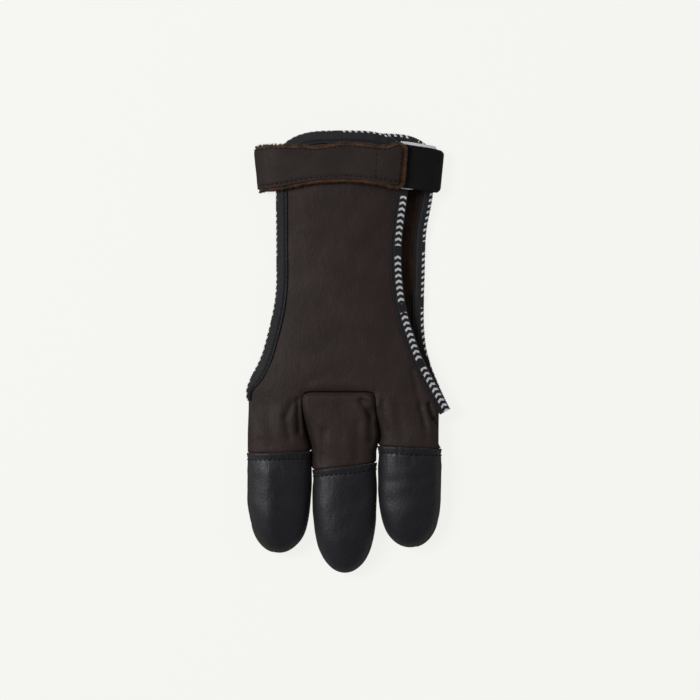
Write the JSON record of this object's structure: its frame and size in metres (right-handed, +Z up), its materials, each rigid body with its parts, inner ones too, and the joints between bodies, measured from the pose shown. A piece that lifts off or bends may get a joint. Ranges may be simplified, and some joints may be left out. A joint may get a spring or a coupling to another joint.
{
  "type": "archery glove",
  "caption": "Three-finger leather shooting glove with stitched fingertip caps, taped open sides and a wrist strap with elastic.",
  "frame": {"origin": "centre of the footprint, on the surface the glove lies on", "axes": "+Z up from the surface through the back of the hand, +Y towards the wrist, +X towards the thumb"},
  "size_m": [0.1058, 0.229, 0.0178],
  "materials": {
    "hand_leather": "dark brown, soft sheen",
    "cap_leather": "black, smooth, satin",
    "strap_leather": "dark brown with raw suede edges",
    "tape": "woven black binding tape",
    "elastic": "ribbed black elastic",
    "label": "plain white satin"
  },
  "bodies": {
    "root": {"back_panel": "hand_leather", "middle_insert": "hand_leather", "palm_panel": "hand_leather", "ring_cap": "cap_leather", "middle_cap": "cap_leather", "index_cap": "cap_leather", "back_binding": "tape", "palm_binding": "tape", "wrist_strap": "strap_leather", "elastic_band": "elastic", "label": "label"}
  },
  "joints": []
}
